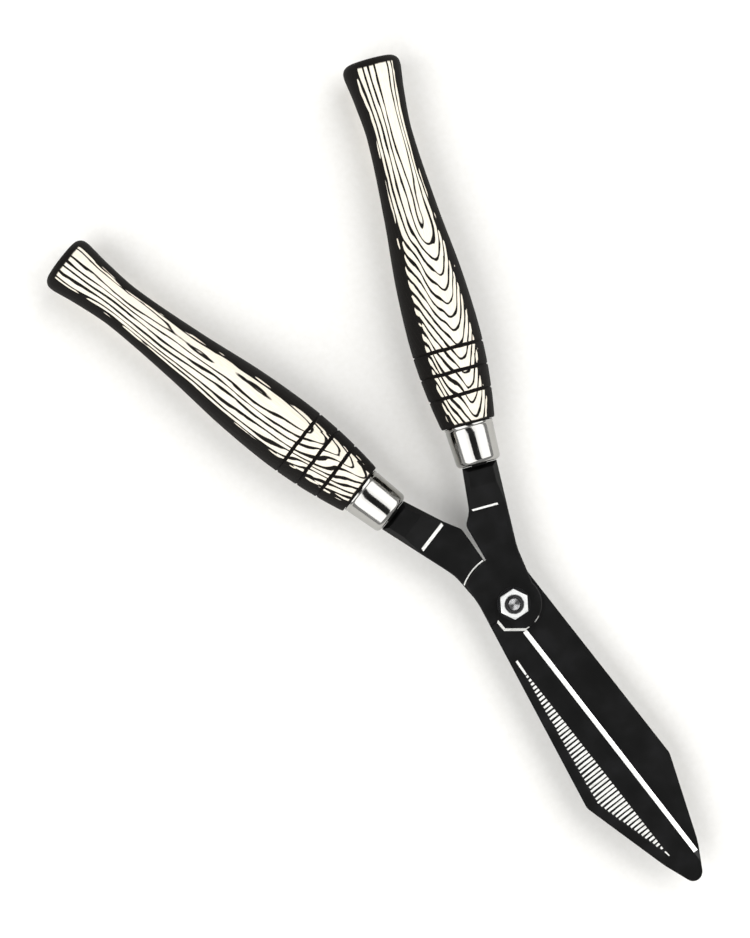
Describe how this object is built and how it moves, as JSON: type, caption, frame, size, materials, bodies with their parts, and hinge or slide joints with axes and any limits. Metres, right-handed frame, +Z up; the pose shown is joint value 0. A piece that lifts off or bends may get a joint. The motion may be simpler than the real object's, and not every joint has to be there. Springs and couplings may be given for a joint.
{
  "type": "garden shears",
  "caption": "Two-handed garden shears with bolted black steel blades, steel ferrules and turned wooden handles.",
  "frame": {"origin": "centre of the pivot bolt head's flat underside, on the pivot axis", "axes": "+X runs from the pivot to the blade tips along the line between the handles, +Z up along the pivot bolt to its nut, +Y to the upper half's handle"},
  "size_m": [0.5256, 0.2506, 0.0436],
  "materials": {
    "black_steel": "black lacquered forged steel, ground bright on the cutting bevel",
    "nickel_steel": "nickel-plated pressed steel, polished",
    "pin_steel": "bright drawn steel nail",
    "handle_wood": "turned ash with strong dark grain, oiled and sealed",
    "black_oxide": "black oxide on turned steel",
    "zinc_steel": "bright zinc-plated steel"
  },
  "bodies": {
    "lower_half": {"lower_blade": "black_steel", "lower_ferrule": "nickel_steel", "lower_ferrule_pin": "pin_steel", "lower_handle": "handle_wood", "pivot_bolt": "black_oxide", "pivot_nut": "zinc_steel", "pivot_washer": "black_oxide", "spring_washer": "black_oxide"},
    "upper_half": {"upper_blade": "black_steel", "upper_ferrule": "nickel_steel", "upper_ferrule_pin": "pin_steel", "upper_handle": "handle_wood"}
  },
  "joints": [
    {"name": "blade_pivot", "type": "hinge", "parent": "lower_half", "child": "upper_half", "pos_m": [0, 0, 0.0086], "axis": [0, 0, -1], "range_deg": [-1.5, 90]}
  ]
}
